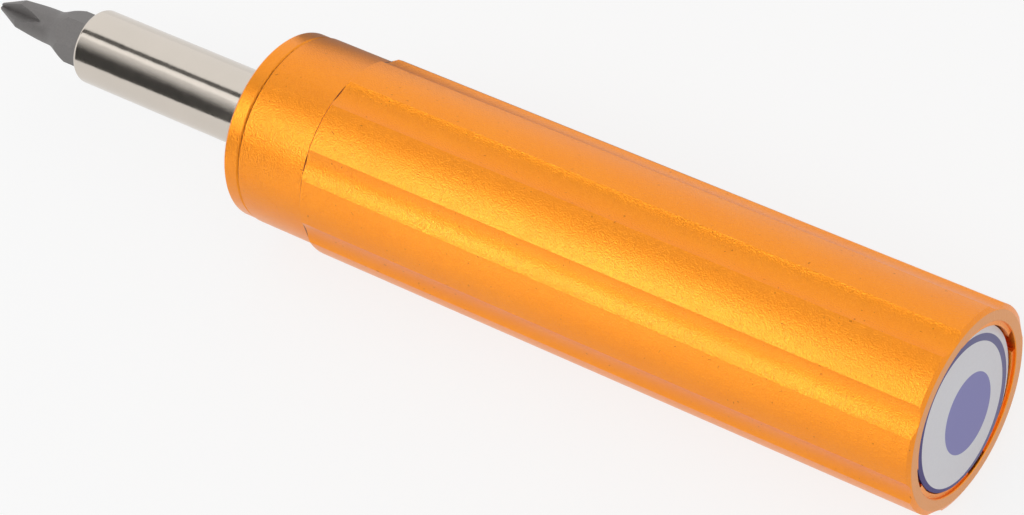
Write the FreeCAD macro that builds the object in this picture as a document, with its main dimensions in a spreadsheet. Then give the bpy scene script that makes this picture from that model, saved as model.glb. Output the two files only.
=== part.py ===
import FreeCAD, Part
import math
import os
import Sketcher
from FreeCAD import Placement, Rotation, Vector

# Torque screwdriver with a preset slipping clutch, laid down on a table as it comes to rest.
# The tool lies along X with its driving tip towards -X.  Z is up, and Z = 0 is the table.
# Stations are distances from the rear face of the handle, counted towards the tip.
# Every piece has its own X = 0 at its front end, the one nearer the tip, and runs back from there.
# Angles round the tool are counted from +Y towards +Z.

# ---------------------------------------------------------------- driving sizes, in mm and degrees
SIZES = [
    # Handle: one turned aluminium tube with milled flutes.
    ("grip_length", "87.9"),
    ("neck_length", "10.0"),
    ("rib_radius", "13.1"),
    ("neck_radius", "12.5"),
    ("rim_radius", "12.4"),
    ("rim_bevel", "0.35"),
    ("shoulder_bevel", "0.5"),
    ("flute_count", "8"),
    ("flute_width", "4.0"),
    ("flute_floor", "12.55"),
    ("neck_edge", "0.2"),
    ("mouth_radius", "11.0"),
    ("mouth_depth", "4.3"),
    ("mouth_edge", "0.1"),
    ("chamber_radius", "9.6"),
    ("cap_bore_radius", "11.0"),
    ("cap_bore_depth", "10.0"),
    ("keyway_radius", "10.7"),
    ("keyway_length", "16.0"),
    ("key_width", "3.6"),
    ("key_count", "4"),
    # Front cap, bush and seal: they carry the output shaft.
    ("cap_radius", "12.4"),
    ("cap_thickness", "2.4"),
    ("cap_front_bevel", "0.3"),
    ("cap_rear_bevel", "0.3"),
    ("cap_spigot", "9.0"),
    ("bush_radius", "6.5"),
    ("bush_flange_radius", "8.5"),
    ("bush_flange", "1.5"),
    ("bush_chamfer", "0.4"),
    ("seal_section", "1.0"),
    ("seal_groove_width", "1.4"),
    ("seal_station", "1.4"),
    # Bit holder: output shaft and hexagon sleeve in one piece.
    ("holder_radius", "5.05"),
    ("holder_reach", "31.5"),
    ("holder_nose", "0.6"),
    ("holder_insert", "3.0"),
    ("journal_radius", "4.7"),
    ("shank_radius", "4.0"),
    ("shank_flats", "6.2"),
    ("shank_tail", "2.0"),
    ("clip_groove_radius", "3.3"),
    ("socket_mouth", "0.5"),
    ("socket_mouth_radius", "4.0"),
    ("magnet_radius", "2.5"),
    ("magnet_length", "4.0"),
    # Insert bit: quarter-inch hexagon, cross recess tip.
    ("bit_length", "25.0"),
    ("bit_reach", "16.4"),
    ("hex_flats", "6.35"),
    ("hex_angle", "55.0"),
    ("bit_neck", "9.8"),
    ("bit_cone", "2.8"),
    ("bit_neck_radius", "2.4"),
    ("bit_fillet", "3.0"),
    ("bit_tail_bevel", "0.5"),
    ("tip_cone", "3.9"),
    ("tip_shoulder_radius", "2.25"),
    ("tip_radius", "0.55"),
    ("cross_angle", "28.0"),
    ("cross_core_radius", "0.3"),
    ("cross_wheel_radius", "18.0"),
    ("cross_flute_count", "4"),
    # Clutch: balls held in a keyed plate, pressed into pockets of the cam plate.
    ("washer_thickness", "1.5"),
    ("washer_radius", "8.5"),
    ("cam_thickness", "5.0"),
    ("clip_thickness", "0.8"),
    ("clip_radius", "4.8"),
    ("clip_gap_angle", "70.0"),
    ("ball_radius", "1.75"),
    ("ball_pitch_radius", "6.9"),
    ("ball_count", "6"),
    ("cam_pocket_depth", "0.8"),
    ("cam_pocket_count", "12"),
    ("seat_lip", "0.25"),
    ("plate_radius", "9.3"),
    ("plate_thickness", "5.5"),
    ("plate_bevel", "0.3"),
    ("plate_bore_radius", "4.7"),
    ("plate_bore_depth", "4.0"),
    ("hub_radius", "5.9"),
    ("hub_length", "2.0"),
    ("key_length", "4.0"),
    # Main spring and its preset.
    ("spring_wire_height", "2.0"),
    ("spring_wire_width", "2.4"),
    ("spring_radius", "7.4"),
    ("spring_length", "36.0"),
    ("spring_coils", "7"),
    ("spring_steps", "8"),
    ("seat_thickness", "3.5"),
    ("centre_ball_radius", "3.0"),
    ("ball_gap", "2.2"),
    ("screw_length", "11.0"),
    ("screw_socket_flats", "8.0"),
    ("screw_socket_depth", "6.0"),
    ("lock_thickness", "4.0"),
    ("lock_bore_radius", "6.0"),
    ("lock_slot_width", "2.5"),
    ("lock_slot_depth", "1.6"),
    ("lock_slot_count", "2"),
    ("screw_bevel", "0.5"),
    # Rear closure: end plug, slotted ring nut and round label.
    ("nut_drop", "0.3"),
    ("nut_thickness", "2.0"),
    ("nut_bore_radius", "10.4"),
    ("nut_notch_width", "3.5"),
    ("nut_notch_depth", "1.3"),
    ("nut_notch_count", "4"),
    ("plug_boss_radius", "10.3"),
    ("plug_spigot", "2.5"),
    ("plug_seal_station", "1.25"),
    ("plug_hollow_radius", "7.0"),
    ("plug_hollow_depth", "3.0"),
    ("label_radius", "10.2"),
    ("label_thickness", "0.2"),
    ("label_drop", "1.1"),
    # Named clearances.
    ("running_gap", "0.05"),
    ("loose_gap", "0.15"),
    ("hex_gap", "0.04"),
    ("end_gap", "0.1"),
]

doc = FreeCAD.newDocument("torque_screwdriver")
dims = doc.addObject("Spreadsheet::Sheet", "dims")
for row, (alias, text) in enumerate(SIZES, start=1):
    dims.set(f"A{row}", alias)
    dims.set(f"B{row}", text)
    dims.setAlias(f"B{row}", alias)
doc.recompute()

# ---------------------------------------------------------------- sizes worked out from the sheet
HANDLE = "(dims.neck_length + dims.grip_length)"
CAP_FRONT = f"({HANDLE} + dims.cap_thickness)"
HOLDER_FRONT = f"({CAP_FRONT} + dims.holder_reach)"
OVERALL = f"({HOLDER_FRONT} + dims.bit_reach)"
CAP_REAR = f"({HANDLE} - dims.cap_spigot)"
BUSH_REAR = f"({CAP_REAR} - dims.bush_flange)"
WASHER_REAR = f"({BUSH_REAR} - dims.washer_thickness)"
CAM_REAR = f"({WASHER_REAR} - dims.cam_thickness)"
BALL_CENTRE = f"({CAM_REAR} - dims.ball_radius + dims.cam_pocket_depth)"
PLATE_FRONT = f"({BALL_CENTRE} - dims.seat_lip)"
PLATE_REAR = f"({PLATE_FRONT} - dims.plate_thickness)"
SPRING_REAR = f"({PLATE_REAR} - dims.spring_length)"
SEAT_REAR = f"({SPRING_REAR} - dims.seat_thickness)"
SCREW_FRONT = f"({SEAT_REAR} - dims.ball_gap)"
SCREW_REAR = f"({SCREW_FRONT} - dims.screw_length)"
AXIS_HEIGHT = "sqrt(dims.rib_radius^2 - (dims.flute_width / 2)^2)"
POCKET_RADIUS = "(dims.ball_radius + dims.running_gap / 2)"
JOURNAL_BORE = "(dims.journal_radius + dims.loose_gap)"
BIT_INSERT = "(dims.bit_length - dims.bit_reach)"
SEAL_BORE = "(dims.journal_radius + dims.running_gap)"
BUSH_FRONT = f"({CAP_FRONT} - dims.holder_insert - dims.end_gap)"
KEY_ANGLE = "(180 / dims.flute_count)"
THRUST_POCKET = "(dims.centre_ball_radius + dims.running_gap)"
PLUG_FRONT = "(dims.mouth_depth + dims.plug_spigot)"
PLUG_SEAL_BORE = "(dims.chamber_radius - dims.seal_section)"
NUT_FRONT = "(dims.nut_drop + dims.nut_thickness)"
LABEL_FRONT = "(dims.label_drop + dims.label_thickness)"


def number(expression):
    """Value of an expression on the sheet."""
    return float(dims.evalExpression(expression))


# ---------------------------------------------------------------- building blocks
def new_body(label, front_station):
    """Empty body whose X = 0 lies at the given station on the tool's axis."""
    body = doc.addObject("PartDesign::Body", label)
    body.Label = label
    lay_on_axis(body, front_station)
    return body


def lay_on_axis(piece, front_station):
    """Bind a piece's place to its station, at the height of the resting tool's axis."""
    piece.setExpression("Placement.Base.x", f"{OVERALL} / 2 - {front_station}")
    piece.setExpression("Placement.Base.z", AXIS_HEIGHT)


def lay_across_axis(piece, front_station):
    """Turn a round piece made about Z onto the tool's axis, with its lower end in front."""
    piece.Placement = Placement(Vector(), Rotation(Vector(0, 1, 0), 90))
    lay_on_axis(piece, front_station)


def origin_feature(body, role):
    return next(item for item in body.Origin.OriginFeatures if item.Role == role)


def new_sketch(body, name, plane, offset="0", turn="0"):
    """Sketch on an origin plane of its body, moved along the plane's normal and turned about it."""
    sketch = body.newObject("Sketcher::SketchObject", name)
    sketch.AttachmentSupport = [(origin_feature(body, plane), "")]
    sketch.MapMode = "FlatFace"
    if offset != "0":
        sketch.setExpression("AttachmentOffset.Base.z", offset)
    if turn != "0":
        sketch.AttachmentOffset = Placement(Vector(), Rotation(Vector(0, 0, 1), number(turn)))
        sketch.setExpression("AttachmentOffset.Rotation.Angle", turn)
    return sketch


def bind(sketch, constraint, expression):
    """Add a dimension whose value follows an expression."""
    index = sketch.addConstraint(Sketcher.Constraint(*constraint, number(expression)))
    sketch.setExpression(f"Constraints[{index}]", expression)


def place_point(sketch, edge, end, across, up):
    """Fix one end of an edge by its distances from the sketch's origin."""
    for kind, axis, distance in (("DistanceX", -2, across), ("DistanceY", -1, up)):
        if distance == "0":
            sketch.addConstraint(Sketcher.Constraint("PointOnObject", edge, end, axis))
        elif number(distance) < 0:
            bind(sketch, (kind, edge, end, -1, 1), f"-({distance})")
        else:
            bind(sketch, (kind, -1, 1, edge, end), distance)


def draw_outline(sketch, points):
    """Closed outline of straight edges through points given as pairs of expressions."""
    corners = [Vector(number(across), number(up), 0) for across, up in points]
    edges = []
    for start, stop in zip(corners, corners[1:] + corners[:1]):
        edges.append(sketch.addGeometry(Part.LineSegment(start, stop), False))
    for edge, following in zip(edges, edges[1:] + edges[:1]):
        sketch.addConstraint(Sketcher.Constraint("Coincident", edge, 2, following, 1))
    for edge, (across, up) in zip(edges, points):
        place_point(sketch, edge, 1, across, up)


def draw_circle(sketch, radius):
    """Circle about the sketch's origin."""
    circle = sketch.addGeometry(Part.Circle(Vector(), Vector(0, 0, 1), number(radius)), False)
    sketch.addConstraint(Sketcher.Constraint("Coincident", circle, 3, -1, 1))
    bind(sketch, ("Radius", circle), radius)


def draw_hexagon(sketch, flats):
    """Regular hexagon about the origin, with two of its sides square to the sketch's X axis."""
    corner_radius = f"{flats} / 2 / cos(30)"
    size = number(corner_radius)
    corners = [Rotation(Vector(0, 0, 1), 30 + 60 * k).multVec(Vector(size, 0, 0)) for k in range(6)]
    ring = sketch.addGeometry(Part.Circle(Vector(), Vector(0, 0, 1), size), True)
    sketch.addConstraint(Sketcher.Constraint("Coincident", ring, 3, -1, 1))
    bind(sketch, ("Radius", ring), corner_radius)
    edges = []
    for start, stop in zip(corners, corners[1:] + corners[:1]):
        edges.append(sketch.addGeometry(Part.LineSegment(start, stop), False))
    for edge, following in zip(edges, edges[1:] + edges[:1]):
        sketch.addConstraint(Sketcher.Constraint("Coincident", edge, 2, following, 1))
        sketch.addConstraint(Sketcher.Constraint("PointOnObject", edge, 1, ring))
    for edge in edges[1:]:
        sketch.addConstraint(Sketcher.Constraint("Equal", edges[0], edge))
    sketch.addConstraint(Sketcher.Constraint("Vertical", edges[5]))


def draw_double_flat(sketch, radius, flats):
    """Circle about the origin with two opposite flats, square to the sketch's X axis."""
    size = number(radius)
    half = number(flats) / 2
    rise = (size**2 - half**2) ** 0.5
    right = sketch.addGeometry(Part.LineSegment(Vector(half, -rise, 0), Vector(half, rise, 0)), False)
    top = sketch.addGeometry(
        Part.Arc(Vector(half, rise, 0), Vector(0, size, 0), Vector(-half, rise, 0)), False
    )
    left = sketch.addGeometry(Part.LineSegment(Vector(-half, rise, 0), Vector(-half, -rise, 0)), False)
    base = sketch.addGeometry(
        Part.Arc(Vector(-half, -rise, 0), Vector(0, -size, 0), Vector(half, -rise, 0)), False
    )
    sketch.addConstraint(Sketcher.Constraint("Coincident", right, 2, top, 1))
    sketch.addConstraint(Sketcher.Constraint("Coincident", top, 2, left, 1))
    sketch.addConstraint(Sketcher.Constraint("Coincident", left, 2, base, 1))
    sketch.addConstraint(Sketcher.Constraint("Coincident", base, 2, right, 1))
    for line in (right, left):
        sketch.addConstraint(Sketcher.Constraint("Vertical", line))
    for arc in (top, base):
        sketch.addConstraint(Sketcher.Constraint("Coincident", arc, 3, -1, 1))
    bind(sketch, ("Radius", top), radius)
    bind(sketch, ("DistanceX", -1, 1, right, 1), f"{flats} / 2")
    bind(sketch, ("DistanceX", left, 1, -1, 1), f"{flats} / 2")


def revolve(body, name, points, angle="360"):
    """Turned piece: an outline of (distance from the front end, radius) turned about the axis."""
    sketch = new_sketch(body, f"{name}_outline", "XZ_Plane")
    draw_outline(sketch, points)
    turned = body.newObject("PartDesign::Revolution", name)
    turned.Profile = sketch
    turned.ReferenceAxis = (sketch, ["H_Axis"])
    turned.setExpression("Angle", angle)
    return turned


def cut_groove(body, name, points):
    """Turned cut about the piece's axis."""
    sketch = new_sketch(body, f"{name}_outline", "XZ_Plane")
    draw_outline(sketch, points)
    groove = body.newObject("PartDesign::Groove", name)
    groove.Profile = sketch
    groove.ReferenceAxis = (sketch, ["H_Axis"])
    groove.Angle = 360
    return groove


def pad(body, name, sketch, length):
    """Straight boss from a sketch, towards the rear."""
    boss = body.newObject("PartDesign::Pad", name)
    boss.Profile = sketch
    boss.setExpression("Length", length)
    return boss


def pocket(body, name, sketch, depth, from_rear=False):
    """Straight cut from a sketch, towards the rear or, from a rear face, towards the front."""
    cut = body.newObject("PartDesign::Pocket", name)
    cut.Profile = sketch
    cut.Reversed = not from_rear
    cut.setExpression("Length", depth)
    return cut


def bevelled_disc(inner, outer, length, bevel):
    """Outline of a ring or disc from its front end, with both outer edges bevelled."""
    return [
        ("0", inner),
        ("0", f"{outer} - {bevel}"),
        (bevel, outer),
        (f"{length} - {bevel}", outer),
        (length, f"{outer} - {bevel}"),
        (length, inner),
    ]


def repeat(body, feature, count):
    """Evenly spaced copies of a feature round the piece's axis."""
    pattern = body.newObject("PartDesign::PolarPattern", f"{feature.Name}_ring")
    pattern.Originals = [feature]
    pattern.Axis = (origin_feature(body, "X_Axis"), [""])
    pattern.Angle = 360
    pattern.setExpression("Occurrences", count)
    body.Tip = pattern
    return pattern


def round_edge(body, name, station, radius, fillet):
    """Round the circular edge that lies at this distance from the front end."""
    doc.recompute()
    base = body.Tip
    names = []
    for index, edge in enumerate(base.Shape.Edges, start=1):
        circle = edge.Curve
        if not isinstance(circle, Part.Circle):
            continue
        if abs(circle.Radius - number(radius)) < 1e-4 and abs(circle.Center.x - number(station)) < 1e-4:
            names.append(f"Edge{index}")
    feature = body.newObject("PartDesign::Fillet", name)
    feature.Base = (base, names)
    feature.setExpression("Radius", fillet)
    return feature


def round_pocket(body, name, centre_station, centre_radius, radius):
    """Ball-shaped pocket, given by its centre's distances from the front end and from the axis."""
    sketch = new_sketch(body, f"{name}_outline", "XZ_Plane")
    centre = Vector(number(centre_station), number(centre_radius), 0)
    size = number(radius)
    reach = Vector(size, 0, 0)
    arc = sketch.addGeometry(
        Part.Arc(centre + reach, centre + Vector(0, size, 0), centre - reach), False
    )
    chord = sketch.addGeometry(Part.LineSegment(centre - reach, centre + reach), False)
    axis = sketch.addGeometry(Part.LineSegment(centre - reach, centre + reach), True)
    sketch.addConstraint(Sketcher.Constraint("Coincident", arc, 2, chord, 1))
    sketch.addConstraint(Sketcher.Constraint("Coincident", chord, 2, arc, 1))
    sketch.addConstraint(Sketcher.Constraint("Coincident", axis, 1, chord, 1))
    sketch.addConstraint(Sketcher.Constraint("Coincident", axis, 2, chord, 2))
    sketch.addConstraint(Sketcher.Constraint("Horizontal", chord))
    sketch.addConstraint(Sketcher.Constraint("PointOnObject", arc, 3, chord))
    place_point(sketch, arc, 3, centre_station, centre_radius)
    bind(sketch, ("Radius", arc), radius)
    groove = body.newObject("PartDesign::Groove", name)
    groove.Profile = sketch
    groove.ReferenceAxis = (sketch, ["Axis0"])
    groove.Angle = 360
    return groove


def draw_block(sketch, inner, outer, width):
    """Rectangle of a given width, from one radius to another along the sketch's Y axis."""
    half = f"{width} / 2"
    left = sketch.addGeometry(
        Part.LineSegment(Vector(-number(half), number(outer), 0), Vector(-number(half), number(inner), 0)),
        False,
    )
    low = sketch.addGeometry(
        Part.LineSegment(Vector(-number(half), number(inner), 0), Vector(number(half), number(inner), 0)),
        False,
    )
    right = sketch.addGeometry(
        Part.LineSegment(Vector(number(half), number(inner), 0), Vector(number(half), number(outer), 0)),
        False,
    )
    high = sketch.addGeometry(
        Part.LineSegment(Vector(number(half), number(outer), 0), Vector(-number(half), number(outer), 0)),
        False,
    )
    edges = (left, low, right, high)
    for edge, following in zip(edges, edges[1:] + edges[:1]):
        sketch.addConstraint(Sketcher.Constraint("Coincident", edge, 2, following, 1))
    for edge in (left, right):
        sketch.addConstraint(Sketcher.Constraint("Vertical", edge))
    sketch.addConstraint(Sketcher.Constraint("Horizontal", high))
    sketch.addConstraint(Sketcher.Constraint("Symmetric", low, 1, low, 2, -2))
    bind(sketch, ("DistanceX", low, 1, low, 2), width)
    bind(sketch, ("DistanceY", -1, 1, low, 1), inner)
    bind(sketch, ("DistanceY", -1, 1, high, 1), outer)


# ---------------------------------------------------------------- handle
def make_handle_body():
    """Tube turned and bored in one piece, then fluted over its grip and broached for the keys."""
    body = new_body("handle_body", HANDLE)
    revolve(
        body,
        "turned_tube",
        [
            ("0", "dims.neck_radius - dims.neck_edge"),
            ("dims.neck_edge", "dims.neck_radius"),
            ("dims.neck_length", "dims.neck_radius"),
            ("dims.neck_length + dims.shoulder_bevel", "dims.rib_radius"),
            (f"{HANDLE} - dims.rim_bevel", "dims.rib_radius"),
            (HANDLE, "dims.rim_radius"),
            (HANDLE, "dims.mouth_radius + dims.mouth_edge"),
            (f"{HANDLE} - dims.mouth_edge", "dims.mouth_radius"),
            (f"{HANDLE} - dims.mouth_depth", "dims.mouth_radius"),
            (f"{HANDLE} - dims.mouth_depth", "dims.chamber_radius"),
            ("dims.cap_bore_depth", "dims.chamber_radius"),
            ("dims.cap_bore_depth", "dims.cap_bore_radius"),
            ("0", "dims.cap_bore_radius"),
        ],
    )
    # The milling cutter's radius follows from the flute's width at the ribs and its depth.
    sag = f"({AXIS_HEIGHT} - dims.flute_floor)"
    cutter = f"((dims.flute_width / 2)^2 + {sag}^2) / (2 * {sag})"
    sketch = new_sketch(body, "flute_cutter", "YZ_Plane", "dims.neck_length")
    centre = f"dims.flute_floor + {cutter}"
    middle = Vector(0, number(centre), 0)
    mill = sketch.addGeometry(Part.Circle(middle, Vector(0, 0, 1), number(cutter)), False)
    sketch.addConstraint(Sketcher.Constraint("PointOnObject", mill, 3, -2))
    bind(sketch, ("DistanceY", -1, 1, mill, 3), centre)
    bind(sketch, ("Radius", mill), cutter)
    flute = pocket(body, "flute", sketch, "dims.grip_length")
    repeat(body, flute, "dims.flute_count")
    # The keyways lie under ribs, where the wall is thickest.
    sketch = new_sketch(body, "keyway_outline", "YZ_Plane", "dims.cap_bore_depth", KEY_ANGLE)
    inside_chamber = "dims.chamber_radius - dims.key_width / 2"
    draw_block(sketch, inside_chamber, "dims.keyway_radius", "dims.key_width")
    keyway = pocket(body, "keyway", sketch, "dims.keyway_length")
    repeat(body, keyway, "dims.key_count")
    return body


def make_front_cap():
    """Screwed cap: a thin bevelled disc in front, and a spigot that holds the bush and the seal."""
    body = new_body("front_cap", CAP_FRONT)
    groove_front = "dims.seal_station - dims.seal_groove_width / 2"
    groove_rear = "dims.seal_station + dims.seal_groove_width / 2"
    groove_floor = f"{SEAL_BORE} + dims.seal_section"
    revolve(
        body,
        "turned_cap",
        [
            ("0", "dims.cap_radius - dims.cap_front_bevel"),
            ("dims.cap_front_bevel", "dims.cap_radius"),
            ("dims.cap_thickness - dims.cap_rear_bevel", "dims.cap_radius"),
            ("dims.cap_thickness", "dims.cap_radius - dims.cap_rear_bevel"),
            ("dims.cap_thickness", "dims.cap_bore_radius"),
            ("dims.cap_thickness + dims.cap_spigot", "dims.cap_bore_radius"),
            ("dims.cap_thickness + dims.cap_spigot", "dims.bush_radius"),
            ("dims.holder_insert + dims.end_gap", "dims.bush_radius"),
            ("dims.holder_insert + dims.end_gap", JOURNAL_BORE),
            (groove_rear, JOURNAL_BORE),
            (groove_rear, groove_floor),
            (groove_front, groove_floor),
            (groove_front, JOURNAL_BORE),
            ("0", JOURNAL_BORE),
        ],
    )
    return body


def make_square_ring(label, middle_station, bore):
    """Rubber ring of square section, cut on a lathe from a tube."""
    body = new_body(label, f"({middle_station} + dims.seal_section / 2)")
    outer = f"{bore} + dims.seal_section"
    revolve(
        body,
        f"{label}_ring",
        [("0", bore), ("0", outer), ("dims.seal_section", outer), ("dims.seal_section", bore)],
    )
    return body


def make_shaft_seal():
    """Ring in the cap's groove, just clear of the turning holder."""
    return make_square_ring("shaft_seal", f"{CAP_FRONT} - dims.seal_station", SEAL_BORE)


def make_front_bush():
    """Flanged bronze bush: the shank runs in its bore and the thrust washer on its flange."""
    body = new_body("front_bush", BUSH_FRONT)
    sleeve = f"({BUSH_FRONT} - {CAP_REAR})"
    revolve(
        body,
        "turned_bush",
        [
            ("0", "dims.shank_radius + dims.running_gap"),
            ("0", "dims.bush_radius - dims.bush_chamfer"),
            ("dims.bush_chamfer", "dims.bush_radius"),
            (sleeve, "dims.bush_radius"),
            (sleeve, "dims.bush_flange_radius"),
            (f"{sleeve} + dims.bush_flange", "dims.bush_flange_radius"),
            (f"{sleeve} + dims.bush_flange", "dims.shank_radius + dims.running_gap"),
        ],
    )
    return body


# ---------------------------------------------------------------- output shaft and bit
def make_bit_holder():
    """Output shaft in one piece: bit sleeve, seal journal, round shank and a flatted tail."""
    body = new_body("bit_holder", HOLDER_FRONT)
    sleeve = "(dims.holder_reach - dims.end_gap)"
    journal = "(dims.holder_reach + dims.holder_insert)"
    shank = f"({HOLDER_FRONT} - {WASHER_REAR})"
    revolve(
        body,
        "turned_shaft",
        [
            ("0", "0"),
            ("0", "dims.holder_radius"),
            (sleeve, "dims.holder_radius"),
            (sleeve, "dims.journal_radius"),
            (journal, "dims.journal_radius"),
            (journal, "dims.shank_radius"),
            (shank, "dims.shank_radius"),
            (shank, "0"),
        ],
    )
    round_edge(body, "nose", "0", "dims.holder_radius", "dims.holder_nose")
    sketch = new_sketch(body, "tail_outline", "YZ_Plane", shank)
    draw_double_flat(sketch, "dims.shank_radius", "dims.shank_flats")
    pad(body, "tail", sketch, "dims.cam_thickness + dims.shank_tail")
    clip_front = f"{shank} + dims.cam_thickness"
    clip_rear = f"{clip_front} + dims.clip_thickness + dims.running_gap"
    cut_groove(
        body,
        "clip_groove",
        [
            (clip_front, "dims.clip_groove_radius"),
            (clip_rear, "dims.clip_groove_radius"),
            (clip_rear, "dims.holder_radius"),
            (clip_front, "dims.holder_radius"),
        ],
    )
    sketch = new_sketch(body, "socket_outline", "YZ_Plane", turn="dims.hex_angle")
    draw_hexagon(sketch, "(dims.hex_flats + 2 * dims.hex_gap)")
    pocket(body, "socket", sketch, f"{BIT_INSERT} + dims.end_gap")
    sketch = new_sketch(body, "magnet_bore_outline", "YZ_Plane")
    draw_circle(sketch, "dims.magnet_radius")
    pocket(body, "magnet_bore", sketch, f"{BIT_INSERT} + dims.magnet_length")
    cut_groove(
        body,
        "socket_mouth",
        [
            ("0", "0"),
            ("0", "dims.socket_mouth_radius"),
            ("dims.socket_mouth", "dims.socket_mouth_radius - dims.socket_mouth"),
            ("dims.socket_mouth", "0"),
        ],
    )
    return body


def make_holder_magnet():
    """Disc magnet pressed into the bottom of the socket; the bit's tail rests on it."""
    disc = doc.addObject("Part::Cylinder", "holder_magnet")
    disc.setExpression("Radius", "dims.magnet_radius")
    disc.setExpression("Height", "dims.magnet_length")
    lay_across_axis(disc, f"({HOLDER_FRONT} - {BIT_INSERT})")
    return disc


def make_phillips_bit():
    """Insert bit: hexagon shank, turned shoulder and neck, and a cross tip ground by a vee wheel."""
    body = new_body("phillips_bit", OVERALL)
    corner = "(dims.hex_flats / 2 / cos(30))"
    cone_end = "dims.bit_neck + dims.bit_cone"
    tail = "dims.bit_length - dims.bit_tail_bevel"
    sketch = new_sketch(body, "hexagon_outline", "YZ_Plane", "dims.bit_neck", "dims.hex_angle")
    draw_hexagon(sketch, "dims.hex_flats")
    pad(body, "hexagon", sketch, "dims.bit_length - dims.bit_neck")
    cut_groove(
        body,
        "shoulder",
        [
            ("dims.bit_neck", "dims.bit_neck_radius"),
            (cone_end, corner),
            (cone_end, "dims.holder_radius"),
            ("dims.bit_neck", "dims.holder_radius"),
        ],
    )
    cut_groove(
        body,
        "tail_bevel",
        [
            (tail, corner),
            ("dims.bit_length", f"{corner} - dims.bit_tail_bevel"),
            ("dims.bit_length", "dims.holder_radius"),
            (tail, "dims.holder_radius"),
        ],
    )
    revolve(
        body,
        "neck",
        [
            ("0", "0"),
            ("0", "dims.tip_radius"),
            ("dims.tip_cone", "dims.tip_shoulder_radius"),
            ("dims.bit_neck", "dims.bit_neck_radius"),
            ("dims.bit_neck", "0"),
        ],
    )
    round_edge(body, "neck_fillet", "dims.bit_neck", "dims.bit_neck_radius", "dims.bit_fillet")
    # Cross flutes: a vee-edged grinding wheel, whose axis lies above the tip, cuts each in turn.
    sketch = new_sketch(body, "vee_wheel", "YZ_Plane", turn="dims.cross_angle")
    rim = "(dims.cross_core_radius + dims.holder_radius)"
    draw_outline(
        sketch,
        [
            ("0", "dims.cross_core_radius"),
            ("dims.holder_radius", rim),
            ("-dims.holder_radius", rim),
        ],
    )
    wheel_height = "dims.cross_core_radius + dims.cross_wheel_radius"
    start = Vector(0, number(wheel_height), 0)
    reach = Vector(number("dims.holder_radius"), 0, 0)
    axis = sketch.addGeometry(Part.LineSegment(start, start + reach), True)
    sketch.addConstraint(Sketcher.Constraint("Horizontal", axis))
    place_point(sketch, axis, 1, "0", wheel_height)
    bind(sketch, ("DistanceX", axis, 1, axis, 2), "dims.holder_radius")
    flute = body.newObject("PartDesign::Groove", "cross_flute")
    flute.Profile = sketch
    flute.ReferenceAxis = (sketch, ["Axis0"])
    flute.Angle = 360
    repeat(body, flute, "dims.cross_flute_count")
    return body


# ---------------------------------------------------------------- slipping clutch
def make_thrust_washer():
    """Hard washer between the bush's flange and the cam plate."""
    body = new_body("thrust_washer", BUSH_REAR)
    bore = "dims.shank_radius + dims.running_gap"
    revolve(
        body,
        "turned_washer",
        bevelled_disc(bore, "dims.washer_radius", "dims.washer_thickness", "dims.plate_bevel"),
    )
    return body


def make_cam_plate():
    """Driven half of the clutch: keyed to the shaft by two flats, with a ring of ball pockets."""
    body = new_body("cam_plate", WASHER_REAR)
    revolve(
        body,
        "turned_cam",
        bevelled_disc("0", "dims.plate_radius", "dims.cam_thickness", "dims.plate_bevel"),
    )
    sketch = new_sketch(body, "keyed_bore_outline", "YZ_Plane")
    draw_double_flat(
        sketch, "(dims.shank_radius + dims.running_gap)", "(dims.shank_flats + 2 * dims.running_gap)"
    )
    pocket(body, "keyed_bore", sketch, "dims.cam_thickness")
    ball_centre = f"({WASHER_REAR} - {BALL_CENTRE})"
    detent = round_pocket(body, "detent", ball_centre, "dims.ball_pitch_radius", POCKET_RADIUS)
    repeat(body, detent, "dims.cam_pocket_count")
    return body


def make_cam_clip():
    """Open retaining ring in the shaft's groove, which keeps the cam plate on its flats."""
    body = new_body("cam_clip", CAM_REAR)
    revolve(
        body,
        "open_ring",
        [
            ("0", "dims.clip_groove_radius"),
            ("0", "dims.clip_radius"),
            ("dims.clip_thickness", "dims.clip_radius"),
            ("dims.clip_thickness", "dims.clip_groove_radius"),
        ],
        angle="360 - dims.clip_gap_angle",
    )
    return body


def make_clutch_balls():
    """Balls that sit in the pressure plate and drop into every second detent of the cam plate."""
    balls = []
    count = round(number("dims.ball_count"))
    for index in range(count):
        ball = doc.addObject("Part::Sphere", f"clutch_ball_{index + 1}")
        ball.setExpression("Radius", "dims.ball_radius")
        ball.setExpression("Placement.Base.x", f"{OVERALL} / 2 - {BALL_CENTRE}")
        angle = f"(90 + {index} * 360 / dims.ball_count)"
        ball.setExpression("Placement.Base.y", f"dims.ball_pitch_radius * cos({angle})")
        ball.setExpression(
            "Placement.Base.z", f"{AXIS_HEIGHT} + dims.ball_pitch_radius * sin({angle})"
        )
        balls.append(ball)
    return balls


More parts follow.
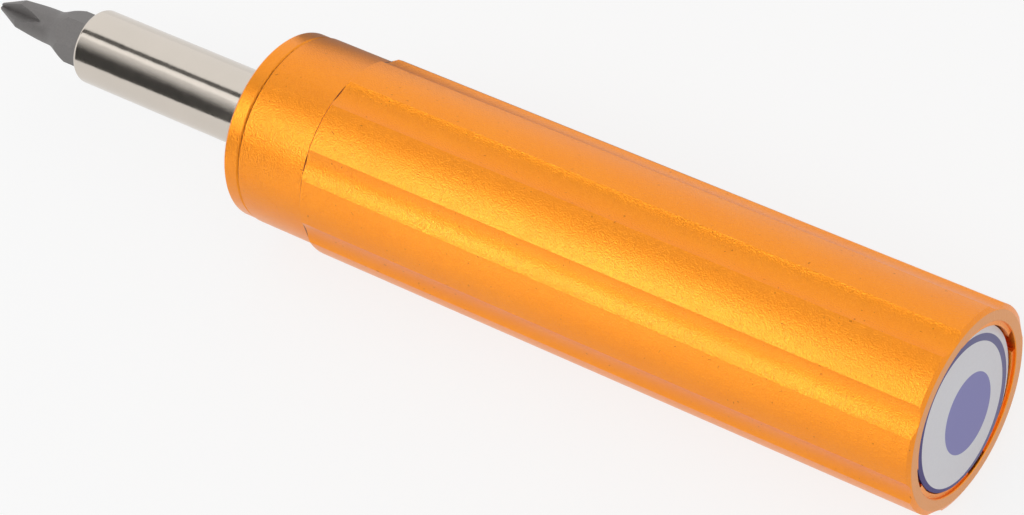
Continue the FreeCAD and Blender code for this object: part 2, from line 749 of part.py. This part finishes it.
def make_pressure_plate():
    """Driving half of the clutch: keys slide in the handle, and the spring sits round its hub."""
    body = new_body("pressure_plate", PLATE_FRONT)
    hub_end = "dims.plate_thickness + dims.hub_length"
    revolve(
        body,
        "turned_plate",
        [
            ("0", "dims.plate_bore_radius"),
            ("0", "dims.plate_radius - dims.plate_bevel"),
            ("dims.plate_bevel", "dims.plate_radius"),
            ("dims.plate_thickness", "dims.plate_radius"),
            ("dims.plate_thickness", "dims.hub_radius"),
            (f"{hub_end} - dims.plate_bevel", "dims.hub_radius"),
            (hub_end, "dims.hub_radius - dims.plate_bevel"),
            (hub_end, "0"),
            ("dims.plate_bore_depth", "0"),
            ("dims.plate_bore_depth", "dims.plate_bore_radius"),
        ],
    )
    sketch = new_sketch(body, "key_outline", "YZ_Plane", turn=KEY_ANGLE)
    draw_block(
        sketch,
        "dims.hub_radius",
        "(dims.keyway_radius - dims.loose_gap)",
        "(dims.key_width - 2 * dims.loose_gap)",
    )
    key = pad(body, "key", sketch, "dims.key_length")
    repeat(body, key, "dims.key_count")
    seat = round_pocket(
        body, "ball_seat", f"({PLATE_FRONT} - {BALL_CENTRE})", "dims.ball_pitch_radius", POCKET_RADIUS
    )
    repeat(body, seat, "dims.ball_count")
    return body


def make_main_spring():
    """Compression spring of flat wire with closed, ground ends, swept along a stretched helix."""
    half_height = number("dims.spring_wire_height / 2")
    half_width = number("dims.spring_wire_width / 2")
    radius = number("dims.spring_radius")
    length = number("dims.spring_length")
    coils = number("dims.spring_coils")
    steps = round(number("dims.spring_steps"))
    closed_pitch = 2 * half_height + number("dims.running_gap")
    open_pitch = (length - 2 * closed_pitch) / (coils - 2)
    path = []
    advance = 0.0
    for step in range(round(coils * steps) + 1):
        turn = step / steps
        angle = 2 * math.pi * turn
        path.append(Vector(advance, radius * math.cos(angle), radius * math.sin(angle)))
        closed = turn < 1 or turn >= coils - 1
        advance += (closed_pitch if closed else open_pitch) / steps
    curve = Part.BSplineCurve()
    curve.interpolate(path)
    start = curve.value(curve.FirstParameter)
    along = curve.tangent(curve.FirstParameter)[0]
    # The wire's section stands square to the helix, its wide side towards the tool's axis.
    rise = along.cross(Vector(0, 1, 0)).normalize() * half_height
    outward = rise.cross(along).normalize() * half_width
    section = Part.makePolygon(
        [
            start + outward + rise,
            start - outward + rise,
            start - outward - rise,
            start + outward - rise,
            start + outward + rise,
        ]
    )
    coil = Part.Wire(curve.toShape()).makePipeShell([section], True, True)
    # Grinding leaves only what lies between the two flat ends.
    stock = Part.makeCylinder(radius + 2 * half_width, length, Vector(), Vector(1, 0, 0))
    spring = doc.addObject("Part::Feature", "main_spring")
    spring.Shape = coil.common(stock)
    lay_on_axis(spring, PLATE_REAR)
    return spring


def make_spring_seat():
    """Seat that centres the spring's rear end and takes the adjusting thrust on a ball."""
    body = new_body("spring_seat", f"({SPRING_REAR} + dims.hub_length)")
    rear = "(dims.hub_length + dims.seat_thickness)"
    revolve(
        body,
        "turned_seat",
        [
            ("0", "0"),
            ("0", "dims.hub_radius - dims.plate_bevel"),
            ("dims.plate_bevel", "dims.hub_radius"),
            ("dims.hub_length", "dims.hub_radius"),
            ("dims.hub_length", "dims.plate_radius"),
            (f"{rear} - dims.plate_bevel", "dims.plate_radius"),
            (rear, "dims.plate_radius - dims.plate_bevel"),
            (rear, "0"),
        ],
    )
    round_pocket(body, "ball_dish", f"{rear} + dims.ball_gap / 2", "0", THRUST_POCKET)
    return body


# ---------------------------------------------------------------- preset of the clutch
def make_centre_ball():
    """Ball that lets the adjusting screw turn without twisting the spring."""
    ball = doc.addObject("Part::Sphere", "centre_ball")
    ball.setExpression("Radius", "dims.centre_ball_radius")
    lay_on_axis(ball, f"({SEAT_REAR} - dims.ball_gap / 2)")
    return ball


def make_adjusting_screw():
    """Threaded plug with a hexagon socket that sets how hard the spring is pressed."""
    body = new_body("adjusting_screw", SCREW_FRONT)
    revolve(
        body,
        "turned_screw",
        bevelled_disc("0", "dims.chamber_radius", "dims.screw_length", "dims.screw_bevel"),
    )
    round_pocket(body, "ball_dish", "-dims.ball_gap / 2", "0", THRUST_POCKET)
    sketch = new_sketch(body, "key_socket_outline", "YZ_Plane", "dims.screw_length")
    draw_hexagon(sketch, "dims.screw_socket_flats")
    pocket(body, "key_socket", sketch, "dims.screw_socket_depth", from_rear=True)
    return body


def make_lock_ring():
    """Threaded ring tightened against the adjusting screw, with a slot across it for a pin key."""
    body = new_body("lock_ring", SCREW_REAR)
    revolve(
        body,
        "turned_ring",
        bevelled_disc(
            "dims.lock_bore_radius", "dims.chamber_radius", "dims.lock_thickness", "dims.screw_bevel"
        ),
    )
    sketch = new_sketch(body, "key_slot_outline", "YZ_Plane", "dims.lock_thickness")
    draw_block(
        sketch,
        "(dims.lock_bore_radius - dims.screw_bevel)",
        "(dims.chamber_radius + dims.screw_bevel)",
        "dims.lock_slot_width",
    )
    slot = pocket(body, "key_slot", sketch, "dims.lock_slot_depth", from_rear=True)
    repeat(body, slot, "dims.lock_slot_count")
    return body


# ---------------------------------------------------------------- rear end
def make_end_plug():
    """Plug that closes the handle: a spigot in the chamber, a flange, and a boss for the label."""
    body = new_body("end_plug", PLUG_FRONT)
    flange_front = "dims.plug_spigot"
    flange_rear = f"({PLUG_FRONT} - {NUT_FRONT})"
    rear = f"({PLUG_FRONT} - {LABEL_FRONT})"
    spigot_radius = "(dims.chamber_radius - dims.running_gap)"
    groove_front = "dims.plug_seal_station - dims.seal_groove_width / 2"
    groove_rear = "dims.plug_seal_station + dims.seal_groove_width / 2"
    revolve(
        body,
        "turned_plug",
        [
            ("0", "dims.plug_hollow_radius"),
            ("0", spigot_radius),
            (groove_front, spigot_radius),
            (groove_front, PLUG_SEAL_BORE),
            (groove_rear, PLUG_SEAL_BORE),
            (groove_rear, spigot_radius),
            (flange_front, spigot_radius),
            (flange_front, "dims.mouth_radius - dims.running_gap"),
            (flange_rear, "dims.mouth_radius - dims.running_gap"),
            (flange_rear, "dims.plug_boss_radius"),
            (rear, "dims.plug_boss_radius"),
            (rear, "0"),
            ("dims.plug_hollow_depth", "0"),
            ("dims.plug_hollow_depth", "dims.plug_hollow_radius"),
        ],
    )
    return body


def make_plug_seal():
    """Ring round the plug's spigot, touching the wall of the handle's chamber."""
    return make_square_ring("plug_seal", f"{PLUG_FRONT} - dims.plug_seal_station", PLUG_SEAL_BORE)


def make_ring_nut():
    """Thin threaded ring that holds the plug, with notches for a pin key in its rear edge."""
    body = new_body("ring_nut", NUT_FRONT)
    revolve(
        body,
        "turned_nut",
        [
            ("0", "dims.nut_bore_radius"),
            ("0", "dims.mouth_radius"),
            ("dims.nut_thickness", "dims.mouth_radius"),
            ("dims.nut_thickness", "dims.nut_bore_radius"),
        ],
    )
    sketch = new_sketch(body, "notch_outline", "YZ_Plane", "dims.nut_thickness")
    draw_block(
        sketch,
        "(dims.nut_bore_radius - dims.mouth_edge)",
        "(dims.mouth_radius + dims.mouth_edge)",
        "dims.nut_notch_width",
    )
    notch = pocket(body, "notch", sketch, "dims.nut_notch_depth", from_rear=True)
    repeat(body, notch, "dims.nut_notch_count")
    return body


def make_end_label():
    """Thin round face plate stuck to the plug's boss."""
    body = new_body("end_label", LABEL_FRONT)
    sketch = new_sketch(body, "disc_outline", "YZ_Plane")
    draw_circle(sketch, "dims.label_radius")
    pad(body, "disc", sketch, "dims.label_thickness")
    return body


# ---------------------------------------------------------------- build, check and write
PIECES = [
    make_handle_body(),
    make_front_cap(),
    make_shaft_seal(),
    make_front_bush(),
    make_bit_holder(),
    make_holder_magnet(),
    make_phillips_bit(),
    make_thrust_washer(),
    make_cam_plate(),
    make_cam_clip(),
    *make_clutch_balls(),
    make_pressure_plate(),
    make_main_spring(),
    make_spring_seat(),
    make_centre_ball(),
    make_adjusting_screw(),
    make_lock_ring(),
    make_end_plug(),
    make_plug_seal(),
    make_ring_nut(),
    make_end_label(),
]
doc.recompute()

for item in doc.Objects:
    if "Invalid" in item.State or "Error" in item.State:
        raise RuntimeError(f"{item.Name} failed: {item.State}")
for piece in PIECES:
    if piece.Shape.isNull() or not piece.Shape.isValid():
        raise RuntimeError(f"{piece.Label} has no valid shape")

os.makedirs("parts", exist_ok=True)
for piece in PIECES:
    piece.Shape.exportStep(f"parts/{piece.Label}.step")
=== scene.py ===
import math

import bpy
from mathutils import Matrix, Vector


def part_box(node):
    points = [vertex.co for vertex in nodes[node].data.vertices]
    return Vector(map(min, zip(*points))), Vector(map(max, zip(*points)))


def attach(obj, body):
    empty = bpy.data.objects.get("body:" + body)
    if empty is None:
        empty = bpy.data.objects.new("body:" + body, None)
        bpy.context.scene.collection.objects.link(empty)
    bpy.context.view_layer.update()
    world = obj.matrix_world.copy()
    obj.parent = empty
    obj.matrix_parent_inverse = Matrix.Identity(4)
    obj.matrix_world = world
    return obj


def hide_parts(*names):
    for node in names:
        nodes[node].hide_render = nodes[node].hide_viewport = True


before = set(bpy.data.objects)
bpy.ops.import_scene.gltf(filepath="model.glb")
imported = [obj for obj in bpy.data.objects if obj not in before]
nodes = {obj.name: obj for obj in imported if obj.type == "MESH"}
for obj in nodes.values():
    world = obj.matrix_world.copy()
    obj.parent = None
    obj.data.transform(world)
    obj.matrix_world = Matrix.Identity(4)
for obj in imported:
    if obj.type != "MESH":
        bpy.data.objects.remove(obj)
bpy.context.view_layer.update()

# ---------------------------------------------------------------- handle
# One aluminium tube, turned, fluted and bead blasted all over, then anodised orange gold.
# Its rear rim was faced off before anodising, so the rim is smoother and paler than the grip.

handle_low, handle_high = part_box("handle_body")
holder_low, holder_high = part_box("bit_holder")
axis_height = (holder_low[2] + holder_high[2]) / 2
rear = handle_high[0]


class Varying:
    """A value that changes over a surface. Arithmetic on a number adds its Math nodes."""

    def __init__(self, shading, socket):
        self.shading = shading
        self.socket = socket

    def math(self, operation, *terms):
        return self.shading.node("ShaderNodeMath", {"operation": operation}, dict(enumerate(terms)))

    def __add__(self, other):
        return self.math("ADD", self, other)

    def __radd__(self, other):
        return self.math("ADD", other, self)

    def __sub__(self, other):
        return self.math("SUBTRACT", self, other)

    def __rsub__(self, other):
        return self.math("SUBTRACT", other, self)

    def __mul__(self, other):
        return self.math("MULTIPLY", self, other)

    def __rmul__(self, other):
        return self.math("MULTIPLY", other, self)

    def __pow__(self, other):
        return self.math("POWER", self, other)

    def __gt__(self, other):
        return self.math("GREATER_THAN", self, other)

    def __lt__(self, other):
        return self.math("LESS_THAN", self, other)

    def larger(self, other):
        """The larger of the two."""
        return self.math("MAXIMUM", self, other)

    def rising(self, start, end):
        """0 below start, 1 above end, and smooth between them."""
        settings = {"interpolation_type": "SMOOTHSTEP"}
        return self.shading.node("ShaderNodeMapRange", settings, {0: self, 1: start, 2: end})


class Shading:
    """The nodes of one material, or of the room around the tool, joined to its shader."""

    def __init__(self, tree, shader):
        self.tree = tree
        self.shader = tree.nodes[shader]

    def node(self, kind, settings, sockets, output=0):
        """Add a node: its settings are set first, then the values or links of its sockets."""
        added = self.tree.nodes.new(kind)
        for name, value in settings.items():
            setattr(added, name, value)
        for key, value in sockets.items():
            if isinstance(value, Varying):
                self.tree.links.new(value.socket, added.inputs[key])
            else:
                added.inputs[key].default_value = value
        return Varying(self, added.outputs[output])

    def feed(self, socket, value):
        self.tree.links.new(value.socket, self.shader.inputs[socket])

    def backdrop_rays(self):
        """Two masks: 1 for camera rays, and 1 for the rays that metal and glass send on."""
        seen = self.node("ShaderNodeLightPath", {}, {}, "Is Camera Ray")
        mirrored = self.node("ShaderNodeLightPath", {}, {}, "Is Glossy Ray")
        through = self.node("ShaderNodeLightPath", {}, {}, "Is Transmission Ray")
        return seen, mirrored.larger(through)


class Finish(Shading):
    """A surface finish: one material with its shader, and the nodes that vary it."""

    def __init__(self, name, **constants):
        self.material = bpy.data.materials.new(name)
        self.material.use_nodes = True
        super().__init__(self.material.node_tree, "Principled BSDF")
        for socket, value in constants.items():
            self.shader.inputs[socket.replace("_", " ")].default_value = value

    def place(self):
        """Where a point lies on the piece, in metres."""
        return self.node("ShaderNodeTexCoord", {}, {}, "Object")

    def part(self, place, axis):
        """One of the three parts of a place."""
        return self.node("ShaderNodeSeparateXYZ", {}, {0: place}, axis)

    def radius(self, place, middle_y=0.0, middle_z=axis_height):
        """Distance from a line that runs along X."""
        across = self.part(place, "Y") - middle_y
        up = self.part(place, "Z") - middle_z
        return (across * across + up * up) ** 0.5

    def grain(self, place, size, detail=2.0, stretch=(1.0, 1.0, 1.0)):
        """Cloudy noise from 0 to 1, with spots of about this size in metres."""
        scale = [1 / (size * part) for part in stretch]
        scaled = self.node("ShaderNodeVectorMath", {"operation": "MULTIPLY"}, {0: place, 1: scale})
        sockets = {"Vector": scaled, "Scale": 1.0, "Detail": detail}
        return self.node("ShaderNodeTexNoise", {}, sockets)

    def mix(self, share, first, second):
        """Colour that goes from the first to the second as the share goes from 0 to 1."""
        return self.node("ShaderNodeMix", {"data_type": "RGBA"}, {0: share, 6: first, 7: second}, 2)

    def relief(self, height, depth, strength=1.0):
        """Small relief, where a height of 1 stands for this depth in metres."""
        sockets = {"Strength": strength, "Distance": depth, "Height": height}
        self.feed("Normal", self.node("ShaderNodeBump", {}, sockets))

    def give(self, *names):
        """Put the finish on these CAD pieces."""
        for name in names:
            nodes[name].data.materials.clear()
            nodes[name].data.materials.append(self.material)


anodised_orange = (0.97, 0.325, 0.02, 1.0)
anodised_deep = (0.9, 0.255, 0.012, 1.0)
# Dark brown for painted shade in the joint with the cap and on the shoulder step.
painted_seam_shade = (0.16, 0.03, 0.003, 1.0)
blast_size = 0.0002
neck_length = 0.01
neck_radius = 0.0125
shoulder_bevel = 0.0005
seam_width = 0.0002


def anodise(name, blast_depth, smooth, rough):
    """Anodised aluminium with the fine pebbled skin that bead blasting leaves."""
    coat = {"Coat_Weight": 0.5, "Coat_Roughness": 0.3, "Coat_IOR": 1.33}
    finish = Finish(name, Metallic=1.0, **coat)
    place = finish.place()
    cloud = finish.grain(place, 0.004, stretch=(3.0, 1.0, 1.0))
    finish.relief(finish.grain(place, blast_size, detail=1.0), blast_depth)
    sparkle = finish.grain(place, blast_size, detail=0.0).rising(0.35, 0.65)
    dye = finish.mix(0.35 * cloud + 0.3 * sparkle, anodised_orange, anodised_deep)
    return finish, dye, smooth + (rough - smooth) * cloud


grip, dye, dullness = anodise("handle_anodised", 0.00007, 0.34, 0.42)
place = grip.place()
along = grip.part(place, "X")
rim = along > rear - 0.00002
# Painted shade: the front edge, in the joint with the cap, and the bevel where the ribs rise from
# the neck are coloured dark brown to stand in for shade there.
shaded_front_edge = along < handle_low[0] + seam_width
shoulder = handle_low[0] + neck_length
shaded_riser = (along > shoulder - 0.00005) * (along < shoulder + shoulder_bevel * 0.5)
shaded_riser = shaded_riser * (grip.radius(place) > neck_radius + 0.00003)
pits = (grip.grain(place, 0.0004, detail=0.0) > 0.8) * grip.grain(place, 0.003).rising(0.45, 0.6)
faced = grip.mix(rim, dye, (0.8, 0.36, 0.12, 1.0))
pitted = grip.mix(0.6 * pits * (1 - rim), faced, (0.45, 0.12, 0.01, 1.0))
grip.feed("Base Color", grip.mix(shaded_front_edge.larger(shaded_riser), pitted, painted_seam_shade))
grip.feed("Roughness", dullness + rim * 0.12)
grip.give("handle_body")

# ---------------------------------------------------------------- front cap
# Turned from the same bar stock and screwed into the neck, with a thin disc left in front.
# Blasted and anodised together with the handle, but a little smoother on its small bevels.

cap, dye, dullness = anodise("cap_anodised", 0.00005, 0.3, 0.38)
cap.feed("Base Color", dye)
cap.feed("Roughness", dullness)
cap.give("front_cap")

# ---------------------------------------------------------------- seals and bush
# Black nitrile rings, moulded, with a dull skin; the bush is pressed and sintered bronze.
# The rings are greased at assembly, and the bush has the fine open grain of its powder.

nitrile = Finish("nitrile_rubber", Specular_IOR_Level=0.35)
place = nitrile.place()
skin = nitrile.grain(place, 0.0006)
nitrile.feed("Base Color", nitrile.mix(skin, (0.012, 0.012, 0.013, 1.0), (0.03, 0.03, 0.032, 1.0)))
nitrile.feed("Roughness", 0.45 + 0.25 * skin)
nitrile.give("shaft_seal", "plug_seal")

bronze = Finish("sintered_bronze", Metallic=1.0)
place = bronze.place()
powder = bronze.grain(place, 0.0003, detail=3.0)
bronze.feed("Base Color", bronze.mix(powder, (0.36, 0.2, 0.07, 1.0), (0.62, 0.4, 0.17, 1.0)))
bronze.feed("Roughness", 0.32 + 0.2 * powder)
bronze.relief(powder, 0.00001)
bronze.give("front_bush")

# ---------------------------------------------------------------- bit holder and its magnet
# Output shaft turned from steel and bright nickel plated; the plating shows a faint orange peel.
# A small nickel-plated magnet is pressed into the bottom of its hexagon socket.

plating = Finish("bright_nickel", Metallic=1.0)
place = plating.place()
peel = plating.grain(place, 0.0011, detail=3.0, stretch=(1.6, 1.0, 1.0))
haze = plating.grain(place, 0.006)
plating.feed("Base Color", plating.mix(haze, (0.69, 0.625, 0.555, 1.0), (0.64, 0.585, 0.52, 1.0)))
plating.feed("Roughness", 0.1 + 0.08 * peel)
plating.relief(peel, 0.000012)
plating.give("bit_holder", "holder_magnet")

# ---------------------------------------------------------------- insert bit
# Forged tool steel with a hexagon shank, ground flutes, and a grey blasted finish all over.
# The blasting leaves fine flecks of a lighter and a darker grey.

grey_steel = Finish("blasted_tool_steel", Metallic=0.85)
place = grey_steel.place()
fleck = grey_steel.grain(place, 0.00025)
dark_grey, pale_grey = (0.2, 0.192, 0.188, 1.0), (0.28, 0.265, 0.258, 1.0)
grey_steel.feed("Base Color", grey_steel.mix(fleck, dark_grey, pale_grey))
grey_steel.feed("Roughness", 0.48 + 0.14 * fleck)
grey_steel.relief(fleck, 0.000012)
grey_steel.give("phillips_bit")

# ---------------------------------------------------------------- clutch
# Cam plate, pressure plate and washer are hardened and ground, with fine circular grinding lines.
# The balls are polished bearing balls; the open ring is black spring steel.

hardened = Finish("hardened_steel", Metallic=1.0)
place = hardened.place()
lines = hardened.grain(place, 0.0004, stretch=(0.3, 4.0, 4.0))
hardened.feed("Base Color", hardened.mix(lines, (0.3, 0.3, 0.31, 1.0), (0.46, 0.46, 0.47, 1.0)))
hardened.feed("Roughness", 0.22 + 0.16 * lines)
hardened.give(
    "thrust_washer", "cam_plate", "pressure_plate", "spring_seat", "adjusting_screw", "lock_ring"
)

bearing = Finish("polished_bearing_steel", Metallic=1.0)
sheen = bearing.grain(bearing.place(), 0.002)
bearing.feed("Base Color", bearing.mix(sheen, (0.6, 0.6, 0.62, 1.0), (0.68, 0.68, 0.69, 1.0)))
bearing.feed("Roughness", 0.05 + 0.05 * sheen)
bearing.give("centre_ball", *(f"clutch_ball_{number}" for number in range(1, 7)))

# ---------------------------------------------------------------- spring
# Flat spring wire, coiled cold, blued by its heat treatment and lightly oiled.
# The heat leaves patches of blue-black and of brown-grey.

blued = Finish("blued_spring_steel", Metallic=1.0)
place = blued.place()
scale = blued.grain(place, 0.0009, detail=3.0)
blued.feed("Base Color", blued.mix(scale, (0.06, 0.065, 0.09, 1.0), (0.16, 0.15, 0.15, 1.0)))
blued.feed("Roughness", 0.3 + 0.2 * scale)
blued.give("main_spring", "cam_clip")

# ---------------------------------------------------------------- rear plug and ring nut
# The plug and the thin notched ring that holds it are turned, and anodised like the handle.
# They were only lightly blasted, so their narrow walls glitter.

plug, dye, dullness = anodise("plug_anodised", 0.00006, 0.28, 0.36)
plug.feed("Base Color", dye)
plug.feed("Roughness", dullness)
plug.give("end_plug", "ring_nut")

# ---------------------------------------------------------------- label
# A stiff printed disc under a clear satin film, stuck to the plug's boss with a foam pad. It sits
# askew: its top edge is on the boss, and its bottom edge rides up on the ring nut.

label_radius = 0.01025
label_thickness = 0.0002
label_edge = 0.00003
label_lean_y = -0.015
label_lean_z = -0.05
label_steps = 96
plug_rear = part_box("end_plug")[1][0]
label_middle = plug_rear + label_thickness - label_lean_z * label_radius

disc_radius = 0.0051
disc_y = 0.00058
disc_z = axis_height - 0.00161
ring_y = -0.0004
ring_z = axis_height - 0.0007
pale_radius = 0.009
border_radius = 0.00993

outline = [
    (0, 0),
    (label_radius - label_edge, 0),
    (label_radius, -label_edge),
    (label_radius, -label_thickness),
    (0, -label_thickness),
]
rows = []
points = []
for radius, depth in outline:
    row = []
    for step in range(label_steps if radius else 1):
        angle = 2 * math.pi * step / label_steps
        y = radius * math.cos(angle)
        z = radius * math.sin(angle)
        row.append(len(points))
        x = label_middle + depth + label_lean_y * y + label_lean_z * z
        points.append((x, y, axis_height + z))
    rows.append(row)
faces = []
for inner, outer in zip(rows, rows[1:]):
    for step in range(label_steps):
        after = (step + 1) % label_steps
        if len(inner) == 1:
            faces.append((inner[0], outer[step], outer[after]))
        elif len(outer) == 1:
            faces.append((inner[step], outer[0], inner[after]))
        else:
            faces.append((inner[step], outer[step], outer[after], inner[after]))
mesh = bpy.data.meshes.new("printed_disc")
mesh.from_pydata(points, [], faces)
printed_disc = bpy.data.objects.new("printed_disc", mesh)
bpy.context.scene.collection.objects.link(printed_disc)

film = {"Coat_Weight": 0.1, "Coat_Roughness": 0.3}
label = Finish("printed_label", Roughness=0.4, Specular_IOR_Level=0.3, **film)
place = label.place()
print_edge = 0.00004
out = label.radius(place, ring_y, ring_z)
middle_out = label.radius(place, disc_y, disc_z)
fibre = label.grain(place, 0.0004)
paper = label.mix(fibre, (0.78, 0.78, 0.82, 1.0), (0.83, 0.83, 0.87, 1.0))
violet = (0.25, 0.245, 0.55, 1.0)
middle = label.mix(middle_out.rising(disc_radius, disc_radius + print_edge), violet, paper)
# Painted shade: the blue border is one ink, painted pale on one side of the label and navy towards
# -Y and a little towards the top, to stand in for shade across it.
lit_border_ink, shaded_border_ink = (0.15, 0.15, 0.33, 1.0), (0.04, 0.025, 0.2, 1.0)
shade_across = (label.part(place, "Z") - axis_height) * 0.3 - label.part(place, "Y")
shaded_ink = label.mix(shade_across.rising(-0.006, 0.009), lit_border_ink, shaded_border_ink)
border = label.mix(out.rising(pale_radius, pale_radius + print_edge), middle, shaded_ink)
margin = out.rising(border_radius, border_radius + print_edge)
label.feed("Base Color", label.mix(margin, border, paper))
mesh.materials.append(label.material)
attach(printed_disc, "handle")
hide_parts("end_label")

# ---------------------------------------------------------------- table and lamps
# A plain white table top and white surroundings, lit by one long soft lamp over the tool.
# Cards hang round the tool, where only polished and satin metal shows them, as bands of light and
# of shade; the low dim card beside the grip is painted shadow, the grip's shadow on the table.

floor_size = 6.0
bpy.ops.mesh.primitive_plane_add(size=floor_size, location=(0, 0, 0))
floor = bpy.context.object
floor.name = "table_top"
tabletop = Finish("white_table", Roughness=0.9, Base_Color=(0.9, 0.9, 0.9, 1.0))
seen, mirrored = tabletop.backdrop_rays()
share = (0.8 * seen).larger(0.65 * mirrored)
glow = tabletop.node("ShaderNodeEmission", {}, {"Color": (1, 1, 1, 1), "Strength": 1.0})
diffuse = Varying(tabletop, tabletop.shader.outputs[0])
blend = tabletop.node("ShaderNodeMixShader", {}, {0: share, 1: diffuse, 2: glow})
tabletop.tree.links.new(blend.socket, tabletop.tree.nodes["Material Output"].inputs["Surface"])
floor.data.materials.append(tabletop.material)

room_level = 0.62
world = bpy.data.worlds.new("white_room")
bpy.context.scene.world = world
world.use_nodes = True
room = Shading(world.node_tree, "Background")
room.shader.inputs["Color"].default_value = (1, 1, 1, 1)
seen, mirrored = room.backdrop_rays()
room.feed("Strength", room_level + (1 - room_level) * seen.larger(mirrored))

lean = -0.476


def hang(thing, angle, distance, middle):
    """Hang something flat round the tool, facing its axis, at this angle from +Y towards +Z."""
    side = math.sqrt(1 - lean**2)
    away = Vector((lean, side * math.cos(angle), side * math.sin(angle)))
    along = (Vector((1, 0, 0)) - away * away.x).normalized()
    turn = Matrix((along, away.cross(along), away)).transposed().to_4x4()
    centre = Vector((middle, 0, axis_height)) + away * distance
    thing.matrix_world = Matrix.Translation(centre) @ turn


lamp_radiance = 1.3
lamp_angle = 126
lamp = bpy.data.lights.new("long_lamp", "AREA")
lamp.shape = "RECTANGLE"
lamp.size = 1.8
lamp.size_y = 0.5
lamp.energy = lamp_radiance * math.pi * lamp.size * lamp.size_y
lamp_holder = bpy.data.objects.new("long_lamp", lamp)
bpy.context.scene.collection.objects.link(lamp_holder)
hang(lamp_holder, math.radians(lamp_angle), 1.0, 0)
lamp_holder.visible_camera = False
lamp_holder.visible_glossy = False


def card(name, start, stop, distance, front, back, bright, fade=None):
    """Card that only reflections show, from one angle to another, for this stretch of the tool."""
    middle_angle = math.radians(start + stop) / 2
    half_height = distance * math.tan(math.radians(stop - start) / 2)
    half_length = (back - front) * math.sqrt(1 - lean**2) / 2
    corners = [(x, y, 0) for x, y in (
        (-half_length, -half_height), (half_length, -half_height),
        (half_length, half_height), (-half_length, half_height),
    )]
    mesh = bpy.data.meshes.new(name)
    mesh.from_pydata(corners, [], [(0, 1, 2, 3)])
    matt = {"Base_Color": (0, 0, 0, 1), "Roughness": 1.0, "Specular_IOR_Level": 0.0}
    paint = Finish(name, Emission_Color=(1, 1, 1, 1), Emission_Strength=bright, **matt)
    if fade:
        top = distance * math.tan(middle_angle - math.radians(start))
        low = distance * math.tan(middle_angle - math.radians(fade[0]))
        height = paint.part(paint.place(), "Y")
        paint.feed("Emission Color", paint.mix(height.rising(low, top), (1, 1, 1, 1), fade[1]))
    paint.material.cycles.emission_sampling = "NONE"
    mesh.materials.append(paint.material)
    hung = bpy.data.objects.new(name, mesh)
    bpy.context.scene.collection.objects.link(hung)
    hang(hung, middle_angle, distance, (front + back) / 2)
    hung.visible_camera = False
    hung.visible_diffuse = False
    hung.visible_shadow = False


tool_front, tool_back = -0.7, 0.9
grip_front, grip_back = handle_low[0] - 0.006, rear + 0.03
neck_end = handle_low[0] - 0.004
card("thin_card", 88, 98, 0.8, tool_front, tool_back, 0.1)
card("white_card", 98, 120, 0.8, tool_front, tool_back, 1.2)
card("grip_card", 116, 145, 0.35, grip_front, grip_back, 4.6)
card("shade_card", 147, 160, 0.3, grip_front, grip_back, 0.35)
card("low_card", 163, 180, 0.35, grip_front, grip_back, 2.2)
card("dark_card", 118, 177, 0.09, holder_low[0] - 0.03, neck_end, 0.06, (150, (14, 14, 14, 1)))
# Painted shadow: a dim card lying low on the far side of the grip, standing in for the grip's
# shadow on the table as its top edge reflects it.
card("floor_shadow_card", -70, -8, 0.03, neck_end, rear + 0.01, 0.3)

# ---------------------------------------------------------------- camera
# It looks down on the tool from behind its rear end, through a long lens, slightly rolled.

look_azimuth = math.radians(48.92)
look_elevation = math.radians(50.91)
look_roll = math.radians(-18.65)
look_distance = 0.46745
look_at = Vector((0.01279, -0.00485, axis_height))

lens = bpy.data.cameras.new("camera")
lens.lens = 134.86
lens.sensor_width = 36.0
lens.clip_start = 0.01
camera = bpy.data.objects.new("camera", lens)
bpy.context.scene.collection.objects.link(camera)
bpy.context.scene.camera = camera
turn = (
    Matrix.Rotation(look_azimuth, 4, "Z")
    @ Matrix.Rotation(math.pi / 2 - look_elevation, 4, "X")
    @ Matrix.Rotation(look_roll, 4, "Z")
)
camera.matrix_world = Matrix.Translation(look_at) @ turn @ Matrix.Translation((0, 0, look_distance))

settings = bpy.context.scene.view_settings
settings.view_transform = "Standard"
